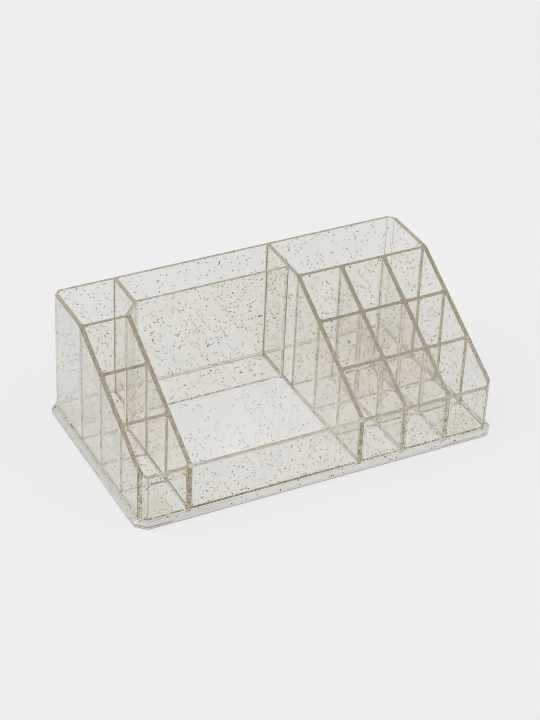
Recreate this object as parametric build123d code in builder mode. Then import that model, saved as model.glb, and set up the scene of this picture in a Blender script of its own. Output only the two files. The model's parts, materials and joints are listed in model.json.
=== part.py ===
from build123d import *
import math
import os

# Clear makeup organizer with sixteen open compartments, all sizes in millimetres.
# X runs along the length, +Y points to the back, Z = 0 is the surface that the pads stand on.

# Compartments, measured between wall faces
left_front_width = 24.85
left_back_width = 33.15
tray_width = 100.35
lipstick_width = 24.55
lipstick_columns = 3
slot_depth = 24.85
back_pocket_depth = 35.85
pocket_depth = 24.65
front_pocket_depth = 25.8
pocket_rows = 3

# Walls: the ones that run along Y are thicker than the ones along X
wall_x = 1.75
wall_y = 2.6
wall_corner = 4.2
pocket_corner = 1.0
back_height = 73.85
front_height = 26.9

# Base with its skirt, a shell whose hollow underside follows the slope
floor_thickness = 1.3
skirt_projection = 2.8
skirt_land = 0.5
skirt_edge = 2.0
skirt_rise = 1.8
skirt_wall = 1.6
slope_wall = 1.3
skirt_corner = 5.8

# Soft pads
pad_size = 17.5
pad_corner = 4.0
pad_inset = 6.6
pad_edge = 0.4
pad_stand = 1.0

# Joints between the walls
seat_depth = 0.5
seat_clearance = 0.05
lap_clearance = 0.1

# Plan of the walls
lipstick_pitch = lipstick_width + wall_y
row_pitch = pocket_depth + wall_x
body_length = left_front_width + tray_width + lipstick_columns * lipstick_pitch + 3 * wall_y
body_depth = back_pocket_depth + (pocket_rows - 1) * row_pitch + front_pocket_depth + 3 * wall_x
base_length = body_length + 2 * skirt_projection
base_depth = body_depth + 2 * skirt_projection

left_inner = wall_y - body_length / 2
right_inner = body_length / 2 - wall_y
back_inner = body_depth / 2 - wall_x
front_inner = wall_x - body_depth / 2

# Mid-planes of the long dividers and of the walls that run along X
left_front_x = left_inner + left_front_width + wall_y / 2
left_back_x = left_inner + left_back_width + wall_y / 2
right_divider_x = left_front_x + tray_width + wall_y
lipstick_x = [right_divider_x + column * lipstick_pitch for column in range(1, lipstick_columns)]
tray_back_y = back_inner - slot_depth - wall_x / 2
first_row_y = back_inner - back_pocket_depth - wall_x / 2
row_y = [first_row_y - row * row_pitch for row in range(pocket_rows)]

# Heights
skirt_z = pad_stand
slope_z = skirt_z + skirt_edge
floor_z = slope_z + skirt_rise
underside_z = floor_z - floor_thickness
seat_z = floor_z - seat_depth
back_top = floor_z + back_height
front_top = floor_z + front_height

# The hollow goes straight up inside the skirt, then in along the slope to the underside of the floor
skirt_run = skirt_projection - skirt_land
slope_drop = slope_wall * math.hypot(skirt_run, skirt_rise) / skirt_run
hollow_z = slope_z + skirt_rise * skirt_wall / skirt_run - slope_drop
hollow_inset = skirt_wall + (underside_z - hollow_z) * skirt_run / skirt_rise

# The tops are level as far as the middle of the first cross walls, then slant down to the front face
slant_start = first_row_y
slant = (back_top - front_top) / (slant_start + body_depth / 2)


def top_at(y):
    """Height of the slanted tops at a place in front of the first cross walls."""
    return front_top + slant * (y + body_depth / 2)


def chamfered_rectangle(length, depth, corner):
    """Rectangle with its four corners cut off at 45 degrees."""
    outline = Rectangle(length, depth)
    chamfer(outline.vertices(), length=corner)


def inset_base(inset):
    """Outline of the base, moved in by the same distance all round."""
    corner = skirt_corner - inset * (2 - math.sqrt(2))
    chamfered_rectangle(base_length - 2 * inset, base_depth - 2 * inset, corner)


def span(x_range, y_range):
    """Footprint of a straight wall between two X planes and two Y planes."""
    x_low, x_high = x_range
    y_low, y_high = y_range
    with Locations(((x_low + x_high) / 2, (y_low + y_high) / 2)):
        Rectangle(x_high - x_low, y_high - y_low)


def around(middle, thickness):
    """The two faces of a wall about its mid-plane."""
    return middle - thickness / 2, middle + thickness / 2


def outer_ring():
    """Footprint of the four outer walls with their corner facets."""
    chamfered_rectangle(body_length, body_depth, wall_corner)
    with BuildSketch(mode=Mode.PRIVATE) as inside:
        chamfered_rectangle(body_length - 2 * wall_y, body_depth - 2 * wall_x, pocket_corner)
    add(inside.sketch, mode=Mode.SUBTRACT)


def ring_share(y_range):
    """Keep the part of the outer walls between two Y planes."""
    with BuildSketch(mode=Mode.PRIVATE) as share:
        span((-body_length / 2, body_length / 2), y_range)
    add(share.sketch, mode=Mode.INTERSECT)


def left_divider_face(side):
    """Corners of one face of the left divider, side +1 for the tray face and -1 for the pocket face."""
    jog_back = tray_back_y - wall_x / 2
    jog_front = first_row_y + wall_x / 2
    turn = math.atan2(left_back_x - left_front_x, jog_back - jog_front)
    half = side * wall_y / 2
    mitre = half * math.tan(turn / 2)
    return [
        (left_back_x + half, back_inner),
        (left_back_x + half, jog_back - mitre),
        (left_front_x + half, jog_front - mitre),
        (left_front_x + half, front_inner),
    ]


def left_divider_plan():
    """Footprint of the left divider, which jogs between the tray back wall and the first cross wall."""
    Polygon(*left_divider_face(1), *reversed(left_divider_face(-1)), align=None)


def right_divider_plan():
    """Footprint of the right divider."""
    span(around(right_divider_x, wall_y), (front_inner, back_inner))


def tray_back_plan():
    """Footprint of the wall between the narrow slot and the tray."""
    span((left_back_x + wall_y / 2, right_divider_x - wall_y / 2), around(tray_back_y, wall_x))


def left_cross_plan(row):
    """Footprint of one cross wall of the left tower."""
    span((left_inner, left_front_x - wall_y / 2), around(row_y[row], wall_x))


def right_cross_plan(row):
    """Footprint of one cross wall of the lipstick tower."""
    span((right_divider_x + wall_y / 2, right_inner), around(row_y[row], wall_x))


def lipstick_plan(column):
    """Footprint of one divider between two columns of lipstick pockets."""
    span(around(lipstick_x[column], wall_y), (front_inner, first_row_y - wall_x / 2))


def raise_wall():
    """Raise the footprint from its seat in the base and trim it to the side view of the organizer."""
    extrude(amount=back_top - seat_z)
    with BuildSketch(Plane.YZ) as side_view:
        Polygon(
            (body_depth / 2, 0),
            (body_depth / 2, back_top),
            (slant_start, back_top),
            (-body_depth / 2, front_top),
            (-body_depth / 2, 0),
            align=None,
        )
    extrude(side_view.sketch, amount=base_length, both=True, mode=Mode.INTERSECT)


def cut_laps(places, bottom, top):
    """Cut the slots of half-lap joints, open at one edge of the wall."""
    with BuildSketch(Plane.XY.offset(bottom)) as slots:
        with Locations(*places):
            Rectangle(wall_y + 2 * lap_clearance, wall_x + 2 * lap_clearance)
    extrude(slots.sketch, amount=top - bottom, mode=Mode.SUBTRACT)


def lap_height(row):
    """Height at which a cross wall rests on the lipstick dividers, half way up the crossing."""
    return (floor_z + top_at(row_y[row])) / 2


def keep(piece, name):
    """Name a finished piece and write it to its own file."""
    piece.part.label = name
    export_step(piece.part, f"parts/{name}.step")


os.makedirs("parts", exist_ok=True)

# Base: bevelled skirt, hollow underside, and a shallow seat for every wall
with BuildPart() as base_tray:
    with BuildSketch(Plane.XY.offset(skirt_z)):
        inset_base(0)
    extrude(amount=skirt_edge)
    with BuildSketch(Plane.XY.offset(slope_z)):
        inset_base(0)
    with BuildSketch(Plane.XY.offset(floor_z)):
        chamfered_rectangle(body_length + 2 * skirt_land, body_depth + 2 * skirt_land, wall_corner)
    loft(ruled=True)
    with BuildSketch(Plane.XY.offset(skirt_z)):
        inset_base(skirt_wall)
    extrude(amount=hollow_z - skirt_z, mode=Mode.SUBTRACT)
    with BuildSketch(Plane.XY.offset(hollow_z)):
        inset_base(skirt_wall)
    with BuildSketch(Plane.XY.offset(underside_z)):
        inset_base(hollow_inset)
    loft(ruled=True, mode=Mode.SUBTRACT)
    with BuildSketch(Plane.XY.offset(seat_z)):
        outer_ring()
        left_divider_plan()
        right_divider_plan()
        tray_back_plan()
        for row in range(pocket_rows):
            left_cross_plan(row)
            right_cross_plan(row)
        for column in range(len(lipstick_x)):
            lipstick_plan(column)
        offset(amount=seat_clearance, kind=Kind.INTERSECTION)
    extrude(amount=seat_depth, mode=Mode.SUBTRACT)
keep(base_tray, "base_tray")

# Outer walls: the corner facets belong to the back and the front wall
facet_depth = max(wall_corner, wall_x + pocket_corner)

with BuildPart() as back_wall:
    with BuildSketch(Plane.XY.offset(seat_z)):
        outer_ring()
        ring_share((body_depth / 2 - facet_depth, body_depth / 2))
    raise_wall()
keep(back_wall, "back_wall")

with BuildPart() as front_wall:
    with BuildSketch(Plane.XY.offset(seat_z)):
        outer_ring()
        ring_share((-body_depth / 2, facet_depth - body_depth / 2))
    raise_wall()
keep(front_wall, "front_wall")

side_range = (facet_depth - body_depth / 2, body_depth / 2 - facet_depth)

with BuildPart() as left_side_wall:
    with BuildSketch(Plane.XY.offset(seat_z)):
        span((-body_length / 2, left_inner), side_range)
    raise_wall()
keep(left_side_wall, "left_side_wall")

with BuildPart() as right_side_wall:
    with BuildSketch(Plane.XY.offset(seat_z)):
        span((right_inner, body_length / 2), side_range)
    raise_wall()
keep(right_side_wall, "right_side_wall")

# Long dividers either side of the tray, and the tall wall behind it
with BuildPart() as left_divider:
    with BuildSketch(Plane.XY.offset(seat_z)):
        left_divider_plan()
    raise_wall()
keep(left_divider, "left_divider")

with BuildPart() as right_divider:
    with BuildSketch(Plane.XY.offset(seat_z)):
        right_divider_plan()
    raise_wall()
keep(right_divider, "right_divider")

with BuildPart() as tray_back_wall:
    with BuildSketch(Plane.XY.offset(seat_z)):
        tray_back_plan()
    raise_wall()
keep(tray_back_wall, "tray_back_wall")

# Cross walls of both towers, in steps that follow the slant
for row in range(pocket_rows):
    with BuildPart() as left_cross_wall:
        with BuildSketch(Plane.XY.offset(seat_z)):
            left_cross_plan(row)
        raise_wall()
    keep(left_cross_wall, f"left_cross_wall_{row + 1}")

    with BuildPart() as right_cross_wall:
        with BuildSketch(Plane.XY.offset(seat_z)):
            right_cross_plan(row)
        raise_wall()
        if row > 0:
            cut_laps([(x, row_y[row]) for x in lipstick_x], seat_z, lap_height(row))
    keep(right_cross_wall, f"right_cross_wall_{row + 1}")

# Lipstick dividers, slotted from above where the lower cross walls drop over them
for column, x in enumerate(lipstick_x):
    with BuildPart() as lipstick_divider:
        with BuildSketch(Plane.XY.offset(seat_z)):
            lipstick_plan(column)
        raise_wall()
        for row in range(1, pocket_rows):
            cut_laps([(x, row_y[row])], lap_height(row), back_top)
    keep(lipstick_divider, f"lipstick_divider_{column + 1}")

# Soft pads under the corner pockets, stuck to the underside of the floor
pad_x = base_length / 2 - pad_inset - pad_size / 2
pad_y = base_depth / 2 - pad_inset - pad_size / 2
pad_places = {
    "foot_front_left": (-pad_x, -pad_y),
    "foot_front_right": (pad_x, -pad_y),
    "foot_back_left": (-pad_x, pad_y),
    "foot_back_right": (pad_x, pad_y),
}

for name, place in pad_places.items():
    with BuildPart() as foot:
        with BuildSketch():
            with Locations(place):
                RectangleRounded(pad_size, pad_size, pad_corner)
        extrude(amount=underside_z)
        fillet(foot.faces().sort_by(Axis.Z)[0].edges(), radius=pad_edge)
    keep(foot, name)
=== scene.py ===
# %% [markdown]
# # A clear makeup organizer with gold glitter
#
# This lesson dresses a desktop organizer: sixteen open pockets moulded in clear plastic, with gold
# flakes frozen in the walls and four soft pads underneath. The construction model is loaded first. It
# fixes every size, so each shape below reads its place from that frame instead of from guesses.

# %% Load the construction model
import json
import math
import random

import bpy
from mathutils import Matrix, Vector
from mathutils.bvhtree import BVHTree

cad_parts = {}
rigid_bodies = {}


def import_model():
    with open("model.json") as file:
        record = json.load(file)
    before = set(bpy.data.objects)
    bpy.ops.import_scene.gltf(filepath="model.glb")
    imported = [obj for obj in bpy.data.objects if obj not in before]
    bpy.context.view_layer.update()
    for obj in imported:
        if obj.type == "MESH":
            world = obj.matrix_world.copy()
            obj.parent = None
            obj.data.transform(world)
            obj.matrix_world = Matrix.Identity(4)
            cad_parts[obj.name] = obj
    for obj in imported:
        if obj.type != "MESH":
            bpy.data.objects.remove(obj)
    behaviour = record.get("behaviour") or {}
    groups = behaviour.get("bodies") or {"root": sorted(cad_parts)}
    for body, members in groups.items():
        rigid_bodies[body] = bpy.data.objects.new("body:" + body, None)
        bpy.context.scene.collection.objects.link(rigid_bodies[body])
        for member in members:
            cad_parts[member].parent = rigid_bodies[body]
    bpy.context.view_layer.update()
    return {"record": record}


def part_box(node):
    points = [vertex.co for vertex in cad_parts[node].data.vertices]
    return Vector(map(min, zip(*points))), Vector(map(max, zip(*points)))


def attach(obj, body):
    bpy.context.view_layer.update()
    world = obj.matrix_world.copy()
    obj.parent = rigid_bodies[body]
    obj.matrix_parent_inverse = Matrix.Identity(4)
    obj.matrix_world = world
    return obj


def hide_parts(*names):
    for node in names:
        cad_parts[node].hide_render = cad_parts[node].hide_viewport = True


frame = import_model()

# %% [markdown]
# ## Measures
#
# Blender works in metres here, while a maker thinks in millimetres, so one constant turns one into the
# other. A second one is the slack that is allowed when two places are compared, and a third says how
# squarely a face has to look along an axis to count as facing it. The planes of the walls come from the
# boxes of the construction nodes. Only what a box can't tell, such as the width of a bevel, is written
# as a number.

# %% Read the planes of the walls
MM = 0.001
TINY = 1e-6
SQUARELY = 0.9

base_low, base_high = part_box("base_tray")
left_low, left_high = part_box("left_side_wall")
right_low, right_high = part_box("right_side_wall")
back_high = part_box("back_wall")[1]
front_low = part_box("front_wall")[0]
tray_back_low, tray_back_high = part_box("tray_back_wall")
divider_low, divider_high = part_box("right_divider")
pad_low, pad_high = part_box("foot_front_left")

wall_x = tray_back_high.y - tray_back_low.y
wall_y = left_high.x - left_low.x
wall_corner = 4.2 * MM
floor_z = base_high.z
skirt_z = base_low.z
underside_z = pad_high.z
back_top = back_high.z
openings = {spot["name"]: spot["box_m"] for spot in frame["record"]["physics"]["openings"]}
front_top = openings["tray"][1][2]

back_inner = back_high.y - wall_x
front_inner = front_low.y + wall_x
left_steps = [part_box(f"left_cross_wall_{step}") for step in (1, 2, 3)]
right_steps = [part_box(f"right_cross_wall_{step}") for step in (1, 2, 3)]
lipstick_walls = [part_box(f"lipstick_divider_{column}") for column in (1, 2)]
print(f"walls {wall_x / MM:.2f} and {wall_y / MM:.2f} mm thick, floor at {floor_z / MM:.2f} mm,",
      f"tops from {front_top / MM:.1f} to {back_top / MM:.1f} mm")

# %% [markdown]
# ## Small helpers
#
# An operator acts on whatever is selected, so every step starts by clearing the selection. Edges and
# vertices are then picked by their place, the way a modeller box-selects them in a side view.

# %% Selection and modifier helpers


def start_clean():
    """Leave edit mode and select nothing."""
    if bpy.context.mode != "OBJECT":
        bpy.ops.object.mode_set(mode="OBJECT")
    bpy.ops.object.select_all(action="DESELECT")


def activate(piece):
    """Make one object the selected and active one."""
    start_clean()
    piece.select_set(True)
    bpy.context.view_layer.objects.active = piece


def add_block(name, low, high):
    """Add a cube that fills the box between two corners, with its place kept in its mesh."""
    start_clean()
    middle = (Vector(low) + Vector(high)) / 2
    size = Vector(high) - Vector(low)
    bpy.ops.mesh.primitive_cube_add(size=1, location=middle, scale=size)
    bpy.ops.object.transform_apply(location=True, rotation=True, scale=True)
    piece = bpy.context.active_object
    piece.name = name
    return piece


def edit(piece, mode):
    """Enter edit mode with nothing selected."""
    activate(piece)
    bpy.ops.object.mode_set(mode="EDIT")
    bpy.ops.mesh.select_mode(type=mode)
    bpy.ops.mesh.select_all(action="DESELECT")
    bpy.ops.object.mode_set(mode="OBJECT")


def pick_edges(piece, wanted):
    """Select the edges for which wanted(first corner, second corner) holds, then enter edit mode."""
    edit(piece, "EDGE")
    corners = piece.data.vertices
    for edge in piece.data.edges:
        first, second = (corners[index].co for index in edge.vertices)
        edge.select = wanted(first, second)
    bpy.ops.object.mode_set(mode="EDIT")


def pick_vertices(piece, wanted):
    """Select the vertices for which wanted(place) holds, then enter edit mode."""
    edit(piece, "VERT")
    for vertex in piece.data.vertices:
        vertex.select = wanted(vertex.co)
    bpy.ops.object.mode_set(mode="EDIT")


def pick_faces(piece, wanted):
    """Select the faces for which wanted(centre, normal) holds, then enter edit mode."""
    edit(piece, "FACE")
    for face in piece.data.polygons:
        face.select = wanted(face.center, face.normal)
    bpy.ops.object.mode_set(mode="EDIT")


def bevel_edges(piece, wanted, offset, segments):
    """Bevel the edges for which wanted(first corner, second corner) holds."""
    pick_edges(piece, wanted)
    bpy.ops.mesh.bevel(offset=offset, offset_type="OFFSET", segments=segments, affect="EDGES")
    start_clean()


def move_vertices(piece, wanted, step):
    """Move the vertices for which wanted(place) holds."""
    pick_vertices(piece, wanted)
    bpy.ops.transform.translate(value=step)
    start_clean()


def cut_across(piece, place, normal):
    """Add an edge loop where a plane crosses the whole mesh."""
    activate(piece)
    bpy.ops.object.mode_set(mode="EDIT")
    bpy.ops.mesh.select_all(action="SELECT")
    bpy.ops.mesh.bisect(plane_co=place, plane_no=normal)
    bpy.ops.object.mode_set(mode="OBJECT")


def merge_flat_faces(piece):
    """Dissolve the edges between faces that lie in one plane."""
    activate(piece)
    bpy.ops.object.mode_set(mode="EDIT")
    bpy.ops.mesh.select_all(action="SELECT")
    bpy.ops.mesh.dissolve_limited(angle_limit=math.radians(0.1))
    bpy.ops.object.mode_set(mode="OBJECT")


def apply_modifier(piece, kind, **settings):
    """Add a modifier, set it and apply it."""
    activate(piece)
    modifier = piece.modifiers.new(kind.title(), kind)
    for name, value in settings.items():
        setattr(modifier, name, value)
    bpy.ops.object.modifier_apply(modifier=modifier.name)


def is_upright(first, second):
    """True for an edge that runs straight up."""
    return abs(first.x - second.x) < TINY and abs(first.y - second.y) < TINY


print("helpers ready")

# %% [markdown]
# ## The outer block
#
# The moulding starts as one solid block with the outline of the outer walls. One loop is cut across it
# at the middle of the first cross walls. Lowering the top edge of the front face then makes the level
# back and the long slant in one move, because the face in front of the loop simply tips over. The four
# upright corners are clipped, and the creases that the clips leave get a small round of their own.

# %% Shape the outer block
crease_round = 0.35 * MM
slant_start = (left_steps[0][0].y + left_steps[0][1].y) / 2
block_bottom = (floor_z + underside_z) / 2
block_low = (left_low.x, front_low.y, block_bottom)
block_high = (right_high.x, back_high.y, back_top)
body = add_block("clear_body", block_low, block_high)
cut_across(body, (0, slant_start, 0), (0, 1, 0))
move_vertices(body, lambda place: place.z > front_top and place.y < front_low.y + TINY,
              (0, 0, front_top - back_top))

bevel_edges(body, lambda first, second: is_upright(first, second)
            and min(abs(first.x - x) for x in (left_low.x, right_high.x)) < TINY
            and min(abs(first.y - y) for y in (front_low.y, back_high.y)) < TINY, wall_corner, 1)
bevel_edges(body, lambda first, second: is_upright(first, second)
            and abs(first.y) > back_high.y - wall_corner - TINY, crease_round, 2)
print("outer block:", len(body.data.polygons), "faces")

# %% [markdown]
# ## The base with its sloping skirt
#
# The floor of the real moulding runs out past the walls as a low skirt: a short upright edge, then a
# slope up to the foot of the walls, with clipped corners. Underneath it is hollow, so that only the pads
# touch the table, and the hollow follows the slope, as an even shell does. A flat block gives all of
# this by hand methods: bevel the corners, extrude the top and shrink it for the slope, then inset the
# bottom and push it up for the hollow.

# %% Shape the skirt
skirt_edge = 2.0 * MM
skirt_land = 0.5 * MM
skirt_wall = 0.5 * MM
slope_wall = 1.3 * MM
skirt_corner = 5.8 * MM
corner_soften = 1.4 * MM
slope_z = skirt_z + skirt_edge
slope_top_x = right_high.x + skirt_land
slope_top_y = back_high.y + skirt_land

base = add_block("base", base_low, (base_high.x, base_high.y, slope_z))
bevel_edges(base, is_upright, skirt_corner, 1)

pick_faces(base, lambda centre, normal: normal.z > SQUARELY)
bpy.ops.mesh.extrude_region_move(TRANSFORM_OT_translate={"value": (0, 0, floor_z - slope_z)})
shrink_x = slope_top_x / base_high.x
shrink_y = slope_top_y / base_high.y
bpy.ops.transform.resize(value=(shrink_x, shrink_y, 1), center_override=(0, 0, floor_z))
start_clean()
print(f"slope shrinks to {shrink_x:.3f} across and {shrink_y:.3f} deep")

# %% [markdown]
# The clipped corners are smaller at the top of the slope than at its bottom, because they run into the
# corners of the walls. So the top corners are stretched outwards again, first across and then deep. The
# edges up each corner get a soft round, as the mould has. The hollow goes straight up at first, and a
# second inset with some depth leads it along the slope to the underside of the floor.

# %% Fit the corners and hollow the underside
stretch_x = (slope_top_x - wall_corner) / ((base_high.x - skirt_corner) * shrink_x)
stretch_y = (slope_top_y - wall_corner) / ((base_high.y - skirt_corner) * shrink_y)
pick_vertices(base, lambda place: place.z > floor_z - TINY and abs(place.y) > slope_top_y - TINY)
bpy.ops.transform.resize(value=(stretch_x, 1, 1), center_override=(0, 0, floor_z))
start_clean()
pick_vertices(base, lambda place: place.z > floor_z - TINY and abs(place.x) > slope_top_x - TINY)
bpy.ops.transform.resize(value=(1, stretch_y, 1), center_override=(0, 0, floor_z))
start_clean()

bevel_edges(base, lambda first, second: abs(first.z - second.z) > skirt_edge / 2, corner_soften, 3)

slope_run = base_high.x - slope_top_x
slope_rise = floor_z - slope_z
slope_drop = slope_wall * math.hypot(slope_run, slope_rise) / slope_run
hollow_z = slope_z + slope_rise * skirt_wall / slope_run - slope_drop
hollow_rise = underside_z - hollow_z
pick_faces(base, lambda centre, normal: normal.z < -SQUARELY)
bpy.ops.mesh.inset(thickness=skirt_wall, depth=0)
bpy.ops.mesh.extrude_region_move(TRANSFORM_OT_translate={"value": (0, 0, hollow_z - skirt_z)})
bpy.ops.mesh.inset(thickness=hollow_rise * slope_run / slope_rise, depth=-hollow_rise)
start_clean()

apply_modifier(body, "BOOLEAN", object=base, operation="UNION", solver="EXACT")
bpy.data.objects.remove(base)
print("block with base:", len(body.data.polygons), "faces")

# %% [markdown]
# ## Sixteen pockets
#
# A mould makes each pocket with a steel core whose edges are rounded, so the pockets have soft inner
# corners and a small radius along the floor. Cutting with rounded cores copies that, and it leaves
# the rows of walls standing as one piece without a seam. Each core is a block that reaches above the
# walls. Where a pocket sits in a clipped corner of the organizer, its core is clipped as well, close to
# the outer clip, so that only a thin skin is left there, as on the real one.

# %% Make the cores of the square pockets
inner_corner = 1.5 * MM
inner_clip = 1.5 * MM
floor_radius = 1.4 * MM
core_spare = 10 * MM
core_top = back_top + core_spare


def in_outer_corner(place):
    """True on the upright edge of a core that faces a clipped corner of the organizer."""
    at_end = place.y > back_inner - TINY or place.y < front_inner + TINY
    return at_end and abs(place.x) > right_low.x - TINY


def round_core(core):
    """Round or clip the upright edges of a core, then round the rim of its lower end."""
    bevel_edges(core, lambda first, second: is_upright(first, second) and not in_outer_corner(first),
                inner_corner, 5)
    if any(in_outer_corner(vertex.co) for vertex in core.data.vertices):
        bevel_edges(core, lambda first, second: is_upright(first, second) and in_outer_corner(first),
                    inner_clip, 1)
    bevel_edges(core, lambda first, second: max(first.z, second.z) < floor_z + TINY, floor_radius, 6)


def add_core(name, x_range, y_range):
    """Add an unrounded core between two planes across and two planes deep."""
    return add_block(name, (x_range[0], y_range[0], floor_z), (x_range[1], y_range[1], core_top))


rows = [
    (left_steps[1][1].y, left_steps[0][0].y),
    (left_steps[2][1].y, left_steps[1][0].y),
    (front_inner, left_steps[2][0].y),
]
lipstick_columns = [
    (divider_high.x, lipstick_walls[0][0].x),
    (lipstick_walls[0][1].x, lipstick_walls[1][0].x),
    (lipstick_walls[1][1].x, right_low.x),
]
left_column = (left_high.x, left_steps[0][1].x)

cores = []
for row, y_range in enumerate(rows, start=1):
    for column, x_range in enumerate([left_column, *lipstick_columns]):
        cores.append(add_core(f"core_{row}_{column}", x_range, y_range))
right_back_y = (right_steps[0][1].y, back_inner)
slot_y = (tray_back_high.y, back_inner)
cores.append(add_core("core_right_back", (divider_high.x, right_low.x), right_back_y))
cores.append(add_core("core_slot", (tray_back_low.x, divider_low.x), slot_y))
print(len(cores), "square cores")

# %% [markdown]
# ## The two cores beside the jog
#
# The left divider steps sideways behind the first cross wall, so the pocket behind the left tower is
# wider than the tower. Its core and the core of the open tray both follow that step. Each starts as a
# block as wide as its wider end. One loop is cut where the slanted part meets the straight one, and the
# corners of the narrower end are moved sideways.

# %% Make the jogged cores
divider_front = left_steps[0][1].x
divider_back = tray_back_low.x - wall_y
jog_width = divider_back - divider_front
jog_back = tray_back_low.y
jog_front = left_steps[0][1].y
jog_turn = math.atan2(jog_width, jog_back - jog_front)
jog_mitre = wall_y * math.tan(jog_turn / 2)

tray = add_core("core_tray", (divider_front + wall_y, divider_low.x), (front_inner, jog_back))
cut_across(tray, (0, jog_front, 0), (0, 1, 0))
move_vertices(tray, lambda place: place.x < 0 and place.y > jog_back - TINY, (jog_width, 0, 0))
move_vertices(tray, lambda place: place.x < 0 and abs(place.y - jog_front) < TINY, (0, -jog_mitre / 2, 0))

left_back = add_core("core_left_back", (left_high.x, divider_back), (jog_front, back_inner))
cut_across(left_back, (0, jog_back, 0), (0, 1, 0))
move_vertices(left_back, lambda place: abs(place.x - divider_back) < TINY and place.y < jog_front + TINY,
              (-jog_width, 0, 0))
move_vertices(left_back, lambda place: place.x > divider_front and abs(place.y - jog_back) < TINY,
              (0, jog_mitre / 2, 0))

for core in (tray, left_back):
    merge_flat_faces(core)
cores += [tray, left_back]
print(f"jog of {jog_width / MM:.1f} mm at {math.degrees(jog_turn):.0f} degrees;",
      len(cores), "cores in all")

# %% [markdown]
# ## Cut the pockets and soften the rims
#
# All cores are rounded, joined into one cutter and taken out of the block in a single boolean. The
# rims that the cut leaves are razor sharp, and no moulded edge is: a narrow bevel catches the light the
# way a real rim does. Weighted normals at full weight then keep the large walls and floors perfectly
# flat in the shading, so that the view through them isn't bent.

# %% Cut, soften and shade the body
rim_bevel = 0.28 * MM
weld_gap = 0.001 * MM
smooth_angle = math.radians(35)

for core in cores:
    round_core(core)
start_clean()
for core in cores:
    core.select_set(True)
cutter = cores[0]
bpy.context.view_layer.objects.active = cutter
bpy.ops.object.join()
apply_modifier(body, "BOOLEAN", object=cutter, operation="DIFFERENCE", solver="EXACT")
bpy.data.objects.remove(cutter)

activate(body)
bpy.ops.object.mode_set(mode="EDIT")
bpy.ops.mesh.select_all(action="SELECT")
bpy.ops.mesh.remove_doubles(threshold=weld_gap)
bpy.ops.mesh.normals_make_consistent(inside=False)
start_clean()
merge_flat_faces(body)
apply_modifier(body, "BEVEL", width=rim_bevel, segments=2, limit_method="ANGLE",
               angle_limit=smooth_angle)
activate(body)
bpy.ops.object.shade_smooth_by_angle(angle=smooth_angle)
apply_modifier(body, "WEIGHTED_NORMAL", keep_sharp=True, weight=100)

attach(body, "root")
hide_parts("base_tray", "back_wall", "front_wall", "left_side_wall", "right_side_wall",
            "left_divider", "right_divider", "tray_back_wall",
            "left_cross_wall_1", "left_cross_wall_2", "left_cross_wall_3",
            "right_cross_wall_1", "right_cross_wall_2", "right_cross_wall_3",
            "lipstick_divider_1", "lipstick_divider_2")
print("clear body:", len(body.data.polygons), "faces,", len(body.data.vertices), "vertices")

# %% [markdown]
# ## Soft feet
#
# Four rounded squares of soft, milky rubber are stuck into the hollow underside, and they are all that
# touches the table. One foot is modelled and copied to the other corners. A hair of air stays above
# each one, because two clear faces in exactly the same place confuse the light.

# %% Model one foot and copy it
foot_corner = 4.0 * MM
foot_edge = 0.5 * MM
foot_air = 0.05 * MM
foot_names = ["foot_front_left", "foot_front_right", "foot_back_left", "foot_back_right"]

foot = add_block("soft_foot", pad_low, (pad_high.x, pad_high.y, pad_high.z - foot_air))
bevel_edges(foot, is_upright, foot_corner, 7)
bevel_edges(foot, lambda first, second: abs(first.z - second.z) < TINY, foot_edge, 3)
activate(foot)
bpy.ops.object.shade_smooth_by_angle(angle=smooth_angle)
apply_modifier(foot, "WEIGHTED_NORMAL", keep_sharp=True)

feet = []
for name in foot_names:
    copy = foot.copy()
    copy.data = foot.data.copy()
    copy.name = "soft_" + name
    bpy.context.collection.objects.link(copy)
    copy.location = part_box(name)[0] - pad_low
    activate(copy)
    bpy.ops.object.transform_apply(location=True, rotation=False, scale=False)
    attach(copy, "root")
    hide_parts(name)
    feet.append(copy)
bpy.data.objects.remove(foot)
print(len(feet), "feet of", len(feet[0].data.polygons), "faces")

# %% [markdown]
# ## Gold glitter
#
# The glitter is stirred into the plastic before moulding: small metal chips that lie every way. Painting
# dots on the surface would look flat, so real chips are placed inside the walls, where the light bends
# round them. One chip is modelled as a stubby six-sided grain with one corner pulled out, which shows as
# a dot from any side.

# %% Model one chip
chip_thickness = 0.9
chip_pull = (0.9, 1.1, 1)
pulled_beyond = 0.7

start_clean()
bpy.ops.mesh.primitive_cylinder_add(vertices=6, radius=1, depth=chip_thickness)
chip = bpy.context.active_object
pick_vertices(chip, lambda place: place.y > pulled_beyond)
bpy.ops.transform.resize(value=chip_pull, center_override=(0, 0, 0))
start_clean()
chip_corners = [vertex.co.copy() for vertex in chip.data.vertices]
chip_faces = [tuple(face.vertices) for face in chip.data.polygons]
bpy.data.objects.remove(chip)
print("one chip:", len(chip_corners), "corners,", len(chip_faces), "faces")

# %% [markdown]
# Thousands of copies would be slow as separate objects, so the chips are written into one mesh. A chip
# starts at a random point of the body's skin, picked by area, and sinks into the wall by a random depth.
# None start in the thick foot of the walls, and a nearest-point test drops a chip where a corner of it
# would stick out. Each chip also keeps a random shade, which its finish reads later, because flakes
# catch the light at different angles.

# %% Scatter the chips inside the walls
area_per_chip = 34 * MM * MM
chip_reach = (0.24 * MM, 0.49 * MM, 0.35 * MM)
chip_tilt = 0.8
chip_depths = (0.3, 0.7)
skin_gap = 0.08 * MM

dice = random.Random(16)
body.data.calc_loop_triangles()
skin = [vertex.co.copy() for vertex in body.data.vertices]
triangles = [tuple(triangle.vertices) for triangle in body.data.loop_triangles]
areas = [triangle.area for triangle in body.data.loop_triangles]
skin_tree = BVHTree.FromPolygons(skin, triangles)
chip_count = round(sum(areas) / area_per_chip)


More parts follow.
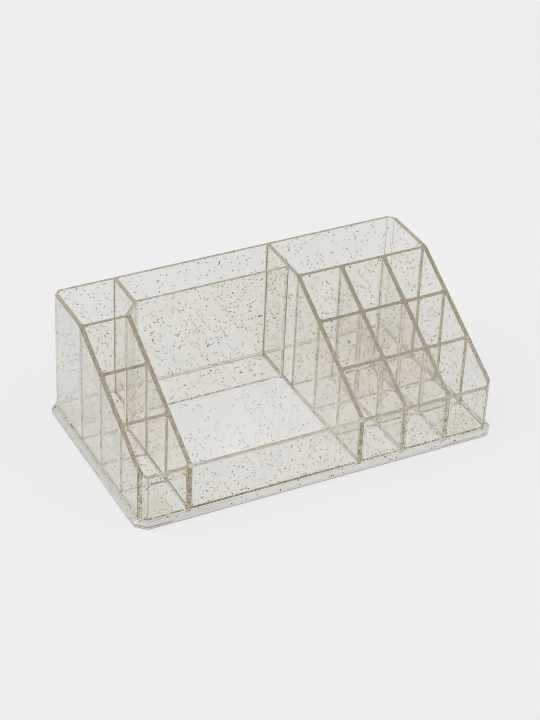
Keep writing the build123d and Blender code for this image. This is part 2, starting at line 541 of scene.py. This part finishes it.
def random_spot(triangle):
    """A random point of a triangle and the direction out of the body there."""
    a, b, c = (skin[index] for index in triangle)
    across, along = dice.random(), dice.random()
    if across + along > 1:
        across, along = 1 - across, 1 - along
    return a + (b - a) * across + (c - a) * along, (b - a).cross(c - a).normalized()


def depth_inside(place):
    """How deep a point lies under the body's skin, less than zero outside."""
    nearest, outward, _, distance = skin_tree.find_nearest(place)
    return distance if (place - nearest).dot(outward) < 0 else -distance


points, faces, shades = [], [], []
for triangle in dice.choices(triangles, weights=areas, k=chip_count):
    spot, outward = random_spot(triangle)
    radius = dice.triangular(*chip_reach)
    through = skin_tree.ray_cast(spot - outward * skin_gap, -outward)[3] or wall_y
    if through > wall_y and spot.z < floor_z + floor_radius:
        continue
    thickness = min(through + skin_gap, wall_y)
    centre = spot - outward * dice.uniform(*chip_depths) * thickness
    lean = Vector([dice.gauss(0, chip_tilt) for _ in range(3)])
    upright = Vector((0, 0, 1)).rotation_difference((outward + lean).normalized()).to_matrix()
    turn = upright @ Matrix.Rotation(dice.uniform(0, math.tau), 3, "Z")
    corners = [centre + turn @ corner * radius for corner in chip_corners]
    shade = dice.random()
    if min(depth_inside(corner) for corner in corners) < skin_gap:
        continue
    faces += [tuple(len(points) + index for index in face) for face in chip_faces]
    shades += [shade] * len(chip_faces)
    points += corners

glitter_mesh = bpy.data.meshes.new("gold_glitter")
glitter_mesh.from_pydata(points, [], faces)
glitter_mesh.attributes.new("chip_shade", "FLOAT", "FACE").data.foreach_set("value", shades)
glitter = bpy.data.objects.new("gold_glitter", glitter_mesh)
bpy.context.collection.objects.link(glitter)
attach(glitter, "root")
print(len(points) // len(chip_corners), "chips of", chip_count, "tried")

# %% [markdown]
# ## A small language for finishes
#
# A finish is a graph of nodes. Wiring each one by hand hides the idea behind the wiring, so one small
# class wraps a socket and lets Python's own arithmetic add the Math nodes. Every other node comes from
# one method that takes its kind, its settings and the values or wires of its sockets.

# %% Socket arithmetic and the node method


class Wire:
    """An output socket that takes part in Python arithmetic."""

    def __init__(self, graph, socket):
        self.graph = graph
        self.socket = socket

    def __add__(self, other):
        return self.graph.math("ADD", self, other)

    def __sub__(self, other):
        return self.graph.math("SUBTRACT", self, other)

    def __rsub__(self, other):
        return self.graph.math("SUBTRACT", other, self)

    def __mul__(self, other):
        return self.graph.math("MULTIPLY", self, other)

    __radd__ = __add__
    __rmul__ = __mul__


class Graph:
    """A node tree that is being wired."""

    def __init__(self, tree):
        self.tree = tree
        tree.nodes.clear()

    def add(self, kind, output=None, settings=None, **sockets):
        """Add a node and give back the named output as a wire."""
        node = self.tree.nodes.new("ShaderNode" + kind)
        for name, value in (settings or {}).items():
            if name == "stops":
                self.set_stops(node.color_ramp, value)
            else:
                setattr(node, name, value)
        for name, value in sockets.items():
            key = int(name[1:]) if name[1:].isdigit() else name.replace("_", " ")
            socket = node.inputs[key]
            if isinstance(value, Wire):
                self.tree.links.new(value.socket, socket)
            else:
                socket.default_value = value
        return Wire(self, node.outputs[output]) if output else None

    def set_stops(self, ramp, stops):
        """Give a colour ramp its stops, each a position and a colour."""
        while len(ramp.elements) < len(stops):
            ramp.elements.new(1)
        for element, (position, colour) in zip(ramp.elements, stops):
            element.position = position
            element.color = (*colour, 1)

    def math(self, operation, first, second):
        """Add one Math node."""
        return self.add("Math", "Value", {"operation": operation}, _0=first, _1=second)


def new_finish(name):
    """A new material with an empty graph."""
    material = bpy.data.materials.new(name)
    material.use_nodes = True
    return material, Graph(material.node_tree)


print("finish language ready")

# %% [markdown]
# ## Tones of the clear plastic
#
# Looking straight through, the real plastic is almost colourless with a grey cast. Seen along a wall,
# from its rim, the light has crossed much more of it and comes out warm brown. The faces therefore carry
# a tone each: walls, the outer skin and the creases at its clipped corners, the floor, the rims, and the
# skirt with its upright edge and the narrow land that it ends on. The tones of the skirt, its edge, the
# land and the creases are painted shade: the skirt and its edge are darkened for the shadow under the
# organizer, the land for a dark line along the bottom, and the creases for the dark lines that the bent
# rounds draw. The tones are kept on the mesh and not in separate materials, because a ray that goes in
# through one material and comes out through another would drag the absorbing volume along with it.

# %% Paint the tones on the faces
tones = {
    "wall": (0.985, 0.975, 0.95, 1),
    "skin": (0.80, 0.81, 0.805, 1),
    "front": (0.88, 0.885, 0.88, 1),
    "floor": (0.96, 0.955, 0.93, 1),
    "rim": (0.97, 0.955, 0.93, 1),
    # Painted shade: the skirt, its upright edge, the land under it and the creases are darker for shade,
    # not for the plastic's own colour.
    "shaded_skirt": (0.58, 0.575, 0.55, 1),
    "edge": (0.59, 0.58, 0.55, 1),
    "dark_land": (0.12, 0.115, 0.10, 1),
    "shaded_crease": (0.42, 0.37, 0.30, 1),
}
# The rims take a share of a milky layer whose colour is painted light and shade.
rim_haze_and_shade = 0.6
rim_facing = 0.5
facing = 0.3
dark_land_height = 0.4 * MM
skin_reach = 2.2 * MM
shaded_crease_turn = (0.1, 0.9)


def tone_of(face):
    """The name of the tone that a face of the body takes."""
    spot, normal = face.center, face.normal
    low = spot.z < floor_z + floor_radius
    from_corner = right_high.x - abs(spot.x) + back_high.y - abs(spot.y)
    inside = abs(spot.x) < right_high.x and abs(spot.y) < back_high.y and from_corner > wall_corner
    outwards = normal.x * math.copysign(1, spot.x) + normal.y * math.copysign(1, spot.y)
    if normal.z > rim_facing and not low:
        return "rim"
    # The land under the skirt takes a dark line of painted shade.
    if normal.z < -facing and spot.z < skirt_z + dark_land_height:
        return "dark_land"
    if inside and low and abs(normal.z) > facing:
        return "floor"
    # The skirt and its upright edge take painted shade, for the shadow under the organizer.
    if low and not inside and outwards > facing:
        return "shaded_skirt" if normal.z > facing else "edge"
    near_outside = min(right_high.x - abs(spot.x), back_high.y - abs(spot.y)) < skin_reach
    if near_outside and outwards > facing:
        less, more = sorted((abs(normal.x), abs(normal.y)))
        # The rounds at the clipped corners take painted shade, for the dark lines that they draw.
        if shaded_crease_turn[0] < less / more < shaded_crease_turn[1]:
            return "shaded_crease"
        return "front" if normal.y < -SQUARELY else "skin"
    return "wall"


names = [tone_of(face) for face in body.data.polygons]
tone_layer = body.data.attributes.new("tone", "FLOAT_COLOR", "FACE")
tone_layer.data.foreach_set("color", [part for name in names for part in tones[name]])
haze_and_shade_layer = body.data.attributes.new("haze", "FLOAT", "FACE")
haze_and_shade_layer.data.foreach_set("value", [rim_haze_and_shade if name == "rim" else 0.0 for name in names])
print({name: names.count(name) for name in tones})

# %% [markdown]
# ## Clear plastic
#
# The clear part is a shader that refracts, over a volume that absorbs a little more blue than red. Slow
# noise streaks the tone, waves the surface and breaks the gloss, as the mould and handling do. The rims
# also get a share of an opaque milky tone, partly for the light that the glitter and the flow of the
# plastic scatter back to the eye. Its colour is painted light and shade, for the light that the walls
# carry up to their rims: it is painted to match the real rims, pale along the low front of the tray, tan
# beside the tray and up the slants, and paler again on the level back. Two ramps read it from the height,
# and a third one starts the low rims beside the tray further up. The last ramp paints a thin dark line of
# shade along the lower edge of the skirt.

# %% Make the clear plastic
plastic_ior = 1.49
volume_colour = (0.70, 0.66, 0.59, 1)
volume_density = 13.0
# Painted rim light and shade: pale at the low front, tan beside the tray and on the slants, paler on the
# back.
rim_light_and_shade_by_height = [
    (0.0, (0.95, 0.94, 0.90)),
    (0.015, (0.95, 0.94, 0.90)),
    (0.035, (0.55, 0.505, 0.44)),
    (0.96, (0.55, 0.505, 0.44)),
    (1.0, (0.59, 0.57, 0.53)),
]
share_by_height = [(0.015, (0.7, 0.7, 0.7)), (0.035, (0.65, 0.65, 0.65))]
flow_stops = [(0.3, (1, 1, 1)), (0.75, (0.97, 0.97, 0.96))]
mottle_stops = [(0.35, (1, 1, 1)), (0.65, (0.84, 0.82, 0.77))]
rim_shade_beside_tray = 0.03
tray_blend = 0.01
body_width = right_high.x - left_low.x
tray_from, tray_to = ((openings["tray"][end][0] - left_low.x) / body_width for end in (0, 1))
shaded_rims_beside_tray = [
    (tray_from - tray_blend, (1, 1, 1)),
    (tray_from, (0, 0, 0)),
    (tray_to, (0, 0, 0)),
    (tray_to + tray_blend, (1, 1, 1)),
]
# A thin dark line of painted shade along the bottom of the skirt.
shade_line_by_height = [(0.0, (0.5, 0.48, 0.45)), (1.0, (1, 1, 1))]
shade_line_width = 0.5 * MM


def ramp(graph, stops, value):
    """The colour that a ramp gives for a value."""
    return graph.add("ValToRGB", "Color", {"stops": stops}, Fac=value)


def tinted(graph, first, second):
    """The product of two colours."""
    settings = {"data_type": "RGBA", "blend_type": "MULTIPLY"}
    return graph.add("Mix", 2, settings, _0=1.0, _6=first, _7=second)


def clear_plastic():
    """Refracting plastic in the painted tones, milky with painted rim light and shade where the rims'
    share says so.
    """
    material, graph = new_finish("clear_plastic")
    place = graph.add("TexCoord", "Object")
    flow = graph.add("TexNoise", "Fac", Vector=place, Scale=38.0, Detail=3.0, Roughness=0.55)
    handling = graph.add("TexNoise", "Fac", Vector=place, Scale=260.0, Detail=4.0, Roughness=0.6)
    ripple = graph.add("TexNoise", "Fac", Vector=place, Scale=70.0, Detail=1.0, Roughness=0.4)
    tone = graph.add("Attribute", "Color", {"attribute_name": "tone"})
    haze = graph.add("Attribute", "Fac", {"attribute_name": "haze"})
    height = graph.add("SeparateXYZ", "Z", Vector=place)
    sideways = graph.add("SeparateXYZ", "X", Vector=place)
    streaked = tinted(graph, tone, ramp(graph, flow_stops, flow))
    # Painted shade line at the bottom of the skirt.
    shade_line = ramp(graph, shade_line_by_height, (height - skirt_z) * (1 / shade_line_width))
    colour = tinted(graph, streaked, shade_line)
    shaded_beside = ramp(graph, shaded_rims_beside_tray, (sideways - left_low.x) * (1 / body_width))
    climb = (height - front_top) * (1 / (back_top - front_top))
    climb = graph.math("MAXIMUM", climb, shaded_beside * rim_shade_beside_tray)
    share = ramp(graph, share_by_height, climb)
    # Painted light and shade of the rims, read from the height and mottled.
    tan = tinted(graph, ramp(graph, rim_light_and_shade_by_height, climb), ramp(graph, mottle_stops, handling))
    bump = graph.add("Bump", "Normal", Strength=0.05, Distance=0.2 * MM, Height=ripple)
    gloss = 0.015 + handling * 0.03
    clear = graph.add("BsdfPrincipled", "BSDF", Base_Color=colour, Roughness=gloss, IOR=plastic_ior,
                      Transmission_Weight=1.0, Normal=bump)
    milky_shaded_rim = graph.add("BsdfPrincipled", "BSDF", Base_Color=tan, Roughness=0.2 + handling * 0.2,
                      IOR=plastic_ior)
    surface = graph.add("MixShader", "Shader", Fac=haze * share, _1=clear, _2=milky_shaded_rim)
    inside = graph.add("VolumeAbsorption", "Volume", Color=volume_colour, Density=volume_density)
    graph.add("OutputMaterial", Surface=surface, Volume=inside)
    return material


body.data.materials.append(clear_plastic())
absorbed = [round(volume_density * (1 - part), 1) for part in volume_colour[:3]]
print("clear plastic absorbs", absorbed, "per metre")

# %% [markdown]
# ## Glitter and rubber
#
# The chips are lacquered metal, so only half metallic. Their colour runs from dark to pale gold by the
# shade that each one carries, which is painted light: how brightly each flake catches the light at its
# own angle, up to a painted glint. The feet are milky rubber that lets some light through, so the table
# shows in them as a pale yellow.

# %% Make the glitter and rubber finishes
# Painted light: dark for flakes turned from the light, pale gold up to a glint for flakes that catch it.
glint_dark_to_gold = [
    (0.0, (0.12, 0.10, 0.06)),
    (0.1, (0.34, 0.26, 0.07)),
    (0.3, (0.70, 0.53, 0.08)),
    (0.7, (0.96, 0.75, 0.12)),
    (1.0, (1.0, 0.88, 0.32)),
]
rubber_stops = [(0.3, (0.98, 0.965, 0.88)), (0.7, (0.96, 0.94, 0.85))]
rubber_ior = 1.15


def glitter_finish():
    """Lacquered metal whose colour follows each chip's shade, which paints how brightly it catches the
    light.
    """
    material, graph = new_finish("gold_glitter")
    shade = graph.add("Attribute", "Fac", {"attribute_name": "chip_shade"})
    # Painted light and glint by each chip's shade.
    colour = ramp(graph, glint_dark_to_gold, shade)
    surface = graph.add("BsdfPrincipled", "BSDF", Base_Color=colour, Metallic=0.5,
                        Roughness=0.5 - shade * 0.2)
    graph.add("OutputMaterial", Surface=surface)
    return material


def milky_rubber():
    """Soft translucent rubber with a faint mottling."""
    material, graph = new_finish("milky_rubber")
    place = graph.add("TexCoord", "Object")
    mottle = graph.add("TexNoise", "Fac", Vector=place, Scale=220.0, Detail=3.0, Roughness=0.6)
    grain = graph.add("TexNoise", "Fac", Vector=place, Scale=2500.0, Detail=2.0, Roughness=0.5)
    colour = ramp(graph, rubber_stops, mottle)
    bump = graph.add("Bump", "Normal", Strength=0.15, Distance=0.05 * MM, Height=grain)
    surface = graph.add("BsdfPrincipled", "BSDF", Base_Color=colour, Roughness=0.45 + mottle * 0.15,
                        IOR=rubber_ior, Transmission_Weight=1.0, Normal=bump)
    graph.add("OutputMaterial", Surface=surface)
    return material


glitter.data.materials.append(glitter_finish())
rubber = milky_rubber()
for foot in feet:
    foot.data.materials.append(rubber)
print("glitter and rubber finished")

# %% [markdown]
# ## Table and room
#
# Clear plastic has hardly any look of its own: it shows the table and the room, bent. So the table is
# one wide pale sheet that glass and metal see at the same level as the camera does, and it still takes
# the organizer's soft shadow. The room is pale at the horizon and dims overhead, which is what draws the
# darker lines along bent edges.

# %% Build the table and the room
backdrop = 0.872
shadow_share = 0.15
table_size = 8.0
table_gap = 0.05 * MM
ambient = 0.6
overhead_dim = 0.1


def seen_rays(graph):
    """1 for the rays that show the table or the room, straight, mirrored or bent."""
    kinds = ("Is Camera Ray", "Is Glossy Ray", "Is Transmission Ray")
    camera_ray, glossy_ray, through_ray = (graph.add("LightPath", kind) for kind in kinds)
    return graph.math("MINIMUM", camera_ray + glossy_ray + through_ray, 1.0)


start_clean()
bpy.ops.mesh.primitive_plane_add(size=table_size, location=(0, 0, -table_gap))
table = bpy.context.active_object
table.name = "table"
bpy.ops.object.transform_apply(location=True, rotation=True, scale=True)

material, graph = new_finish("pale_table")
lit = graph.add("BsdfDiffuse", "BSDF", Color=(backdrop, backdrop, backdrop, 1))
plain = graph.add("Emission", "Emission", Color=(backdrop, backdrop, backdrop, 1), Strength=1.0)
mixed = graph.add("MixShader", "Shader", Fac=seen_rays(graph) * (1 - shadow_share), _1=lit, _2=plain)
graph.add("OutputMaterial", Surface=mixed)
table.data.materials.append(material)

room = bpy.data.worlds.new("room")
room.use_nodes = True
bpy.context.scene.world = room
graph = Graph(room.node_tree)
direction = graph.add("TexCoord", "Generated")
height = graph.add("SeparateXYZ", "Z", Vector=direction)
overhead = graph.math("MAXIMUM", height, 0.0)
strength = ambient + seen_rays(graph) * (backdrop - ambient - overhead * overhead_dim)
background = graph.add("Background", "Background", Color=(1, 1, 1, 1), Strength=strength)
graph.add("OutputWorld", Surface=background)
print("table and room built")

# %% [markdown]
# ## Lamps
#
# Two large square lamps give soft studio light, because a large lamp blurs its own shadow. The stronger
# one stands to the left and a little behind, and the weaker one fills in from the front right.

# %% Hang the lamps


def add_softbox(name, place, size, power):
    """A large square lamp that points at the organizer."""
    start_clean()
    bpy.ops.object.light_add(type="AREA", location=place)
    lamp = bpy.context.active_object
    lamp.name = name
    lamp.data.shape = "SQUARE"
    lamp.data.size = size
    lamp.data.energy = power
    lamp.rotation_euler = (-Vector(place)).to_track_quat("-Z", "Y").to_euler()
    return lamp


key = add_softbox("key_softbox", (-1.2, 0.35, 1.6), 1.2, 12.0)
fill = add_softbox("fill_softbox", (1.2, -0.9, 1.1), 1.4, 6.0)
print("lamps of", key.data.energy, "and", fill.data.energy, "watts")

# %% [markdown]
# ## Camera
#
# The camera stands where the photographer stood: to the left of the middle, a little over a metre away,
# looking down by a little over a third of a right angle through a long lens, which keeps the walls nearly
# parallel. Light has to cross many walls and bounce inside them, so the path length is raised as well.

# %% Place the camera
camera_place = (-0.46508, -0.85166, 0.68939)
camera_heading = math.radians(-28.511)
camera_tilt = math.radians(33.727)
camera_roll = math.radians(2.777)
camera_lens = 105.34
light_bounces = 48
see_through_bounces = 32

camera_data = bpy.data.cameras.new("camera")
camera_data.sensor_width = 36
camera_data.lens = camera_lens
camera = bpy.data.objects.new("camera", camera_data)
bpy.context.collection.objects.link(camera)
look = Matrix.Rotation(camera_heading, 4, "Z") @ Matrix.Rotation(math.pi / 2 - camera_tilt, 4, "X")
look = look @ Matrix.Rotation(camera_roll, 4, "Z")
camera.matrix_world = Matrix.Translation(camera_place) @ look

scene = bpy.context.scene
scene.camera = camera
scene.view_settings.view_transform = "Standard"
scene.cycles.max_bounces = light_bounces
scene.cycles.transmission_bounces = light_bounces
scene.cycles.glossy_bounces = light_bounces
scene.cycles.transparent_max_bounces = see_through_bounces
scene.cycles.filter_width = 1.0
print(f"camera at {camera_place} with a {camera_lens} mm lens")
